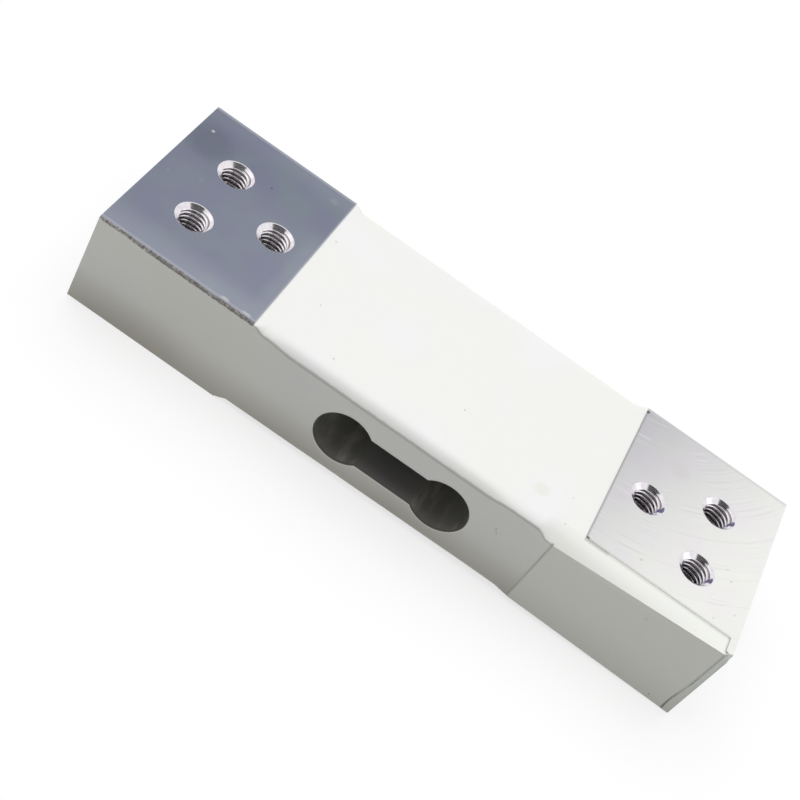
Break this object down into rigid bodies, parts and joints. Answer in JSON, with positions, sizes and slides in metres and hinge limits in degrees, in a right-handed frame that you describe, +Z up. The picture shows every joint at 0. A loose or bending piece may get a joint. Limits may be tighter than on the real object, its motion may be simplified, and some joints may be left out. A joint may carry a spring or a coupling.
{
  "type": "parallel beam load cell",
  "caption": "Parallel beam load cell: aluminium bar with a two-eyed side opening, a white sealed waist and wiring recess, and tapped mounting pads at both ends.",
  "frame": {"origin": "bottom centre, in the plane of the two lower pads", "axes": "+X along the beam towards the end that takes the cable, +Z up through the upper pads"},
  "size_m": [0.13, 0.042, 0.0206],
  "materials": {
    "milled_aluminium": "milled pads, satin, dark inside the opening",
    "white_coat": "smooth white sealing coat",
    "white_filling": "smooth white casting compound",
    "gauge": "amber carrier film with a grey foil grid",
    "terminal": "glass fibre strip with tinned lands",
    "copper": "tinned copper wire",
    "lead": "insulated flat lead",
    "board": "green board with tinned lands",
    "chip": "black chip with light ends",
    "foil_resistor": "amber film resistor",
    "bush": "black rubber"
  },
  "bodies": {
    "root": {"beam": "milled_aluminium", "jacket": "white_coat", "end_coat": "white_coat", "recess_filling": "white_filling", "trim_board": "board", "zero_resistor": "chip", "span_resistor": "chip", "temperature_resistor": "foil_resistor", "cable_bush": "bush", "gauge_top_left": "gauge", "terminal_top_left": "terminal", "jumpers_top_left": "copper", "lead_top_left": "lead", "gauge_top_right": "gauge", "terminal_top_right": "terminal", "jumpers_top_right": "copper", "lead_top_right": "lead", "gauge_bottom_left": "gauge", "terminal_bottom_left": "terminal", "jumpers_bottom_left": "copper", "lead_bottom_left": "lead", "gauge_bottom_right": "gauge", "terminal_bottom_right": "terminal", "jumpers_bottom_right": "copper", "lead_bottom_right": "lead"}
  },
  "joints": []
}
